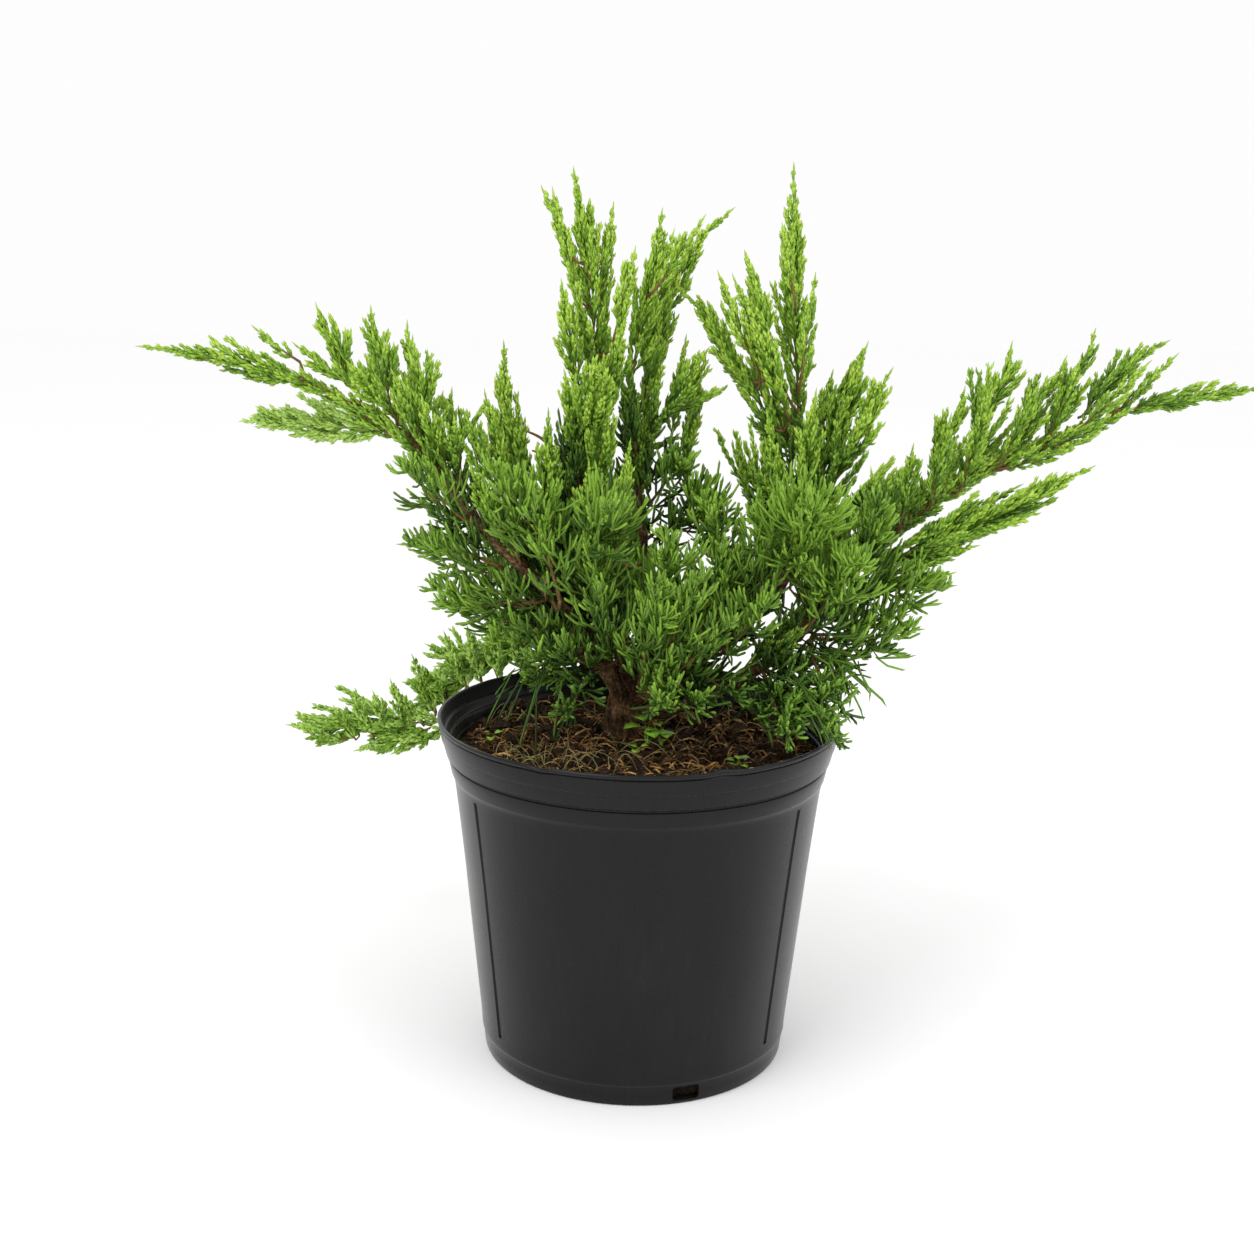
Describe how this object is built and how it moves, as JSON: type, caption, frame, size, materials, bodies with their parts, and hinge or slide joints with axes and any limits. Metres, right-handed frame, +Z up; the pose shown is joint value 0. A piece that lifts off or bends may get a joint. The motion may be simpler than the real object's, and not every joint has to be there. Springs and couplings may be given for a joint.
{
  "type": "spreading juniper in a nursery pot",
  "caption": "Young spreading juniper shrub with arching boughs and feathery scale-leaf sprays, rooted in a round black plastic nursery pot.",
  "frame": {"origin": "middle of the pot's flat underside, at the level that the pot stands on", "axes": "+Z up, +X to the right along the crown's longest spread, -Y towards the front"},
  "size_m": [0.743, 0.4242, 0.608],
  "materials": {
    "pot": "satin black moulded plastic",
    "soil": "rough fibrous potting mix",
    "bark": "rough, stringy bark",
    "foliage_tip": "bright young scale foliage, slightly waxy",
    "foliage_inner": "dark older scale foliage, slightly waxy",
    "foliage_pale": "pale scale foliage with a light bloom"
  },
  "bodies": {
    "root": {"bough_centre": "bark", "bough_centre_left": "bark", "bough_far_right": "bark", "bough_left": "bark", "bough_rear": "bark", "bough_rear_left": "bark", "bough_rear_right": "bark", "bough_right": "bark", "bough_right_upper": "bark", "foliage_centre_body": "foliage_tip", "foliage_centre_curl": "foliage_inner", "foliage_centre_droop": "foliage_inner", "foliage_centre_left_front": "foliage_inner", "foliage_centre_left_rise": "foliage_tip", "foliage_centre_plume": "foliage_tip", "foliage_centre_right_tall": "foliage_tip", "foliage_centre_side": "foliage_tip", "foliage_centre_side_low": "foliage_inner", "foliage_centre_tall": "foliage_tip", "foliage_far_right_inner": "foliage_inner", "foliage_far_right_lower": "foliage_tip", "foliage_far_right_rise_a": "foliage_tip", "foliage_far_right_rise_b": "foliage_tip", "foliage_far_right_rise_c": "foliage_tip", "foliage_far_right_rise_d": "foliage_tip", "foliage_far_right_rise_e": "foliage_tip", "foliage_far_right_tip": "foliage_tip", "foliage_far_right_under": "foliage_inner", "foliage_front_low": "foliage_inner", "foliage_front_right_rise": "foliage_inner", "foliage_front_rise": "foliage_inner", "foliage_hollow_left": "foliage_inner", "foliage_hollow_right": "foliage_inner", "foliage_left_fringe": "foliage_inner", "foliage_left_low_fringe": "foliage_inner", "foliage_left_lower": "foliage_pale", "foliage_left_rise_inner": "foliage_tip", "foliage_left_rise_middle": "foliage_tip", "foliage_left_rise_outer": "foliage_tip", "foliage_left_shoulder": "foliage_tip", "foliage_left_tip": "foliage_tip", "foliage_left_under": "foliage_inner", "foliage_rear_high_left": "foliage_inner", "foliage_rear_left_rise": "foliage_pale", "foliage_rear_left_tip": "foliage_pale", "foliage_rear_right_rise": "foliage_tip", "foliage_rear_right_tip": "foliage_tip", "foliage_rear_tip": "foliage_tip", "foliage_right_front": "foliage_tip", "foliage_right_inner": "foliage_inner", "foliage_right_low": "foliage_inner", "foliage_right_mid_front": "foliage_inner", "foliage_right_plume": "foliage_tip", "foliage_right_plume_upper": "foliage_tip", "foliage_right_shoulder": "foliage_tip", "foliage_right_side": "foliage_tip", "foliage_right_tall": "foliage_tip", "pot": "pot", "soil": "soil", "trunk": "bark"}
  },
  "joints": []
}
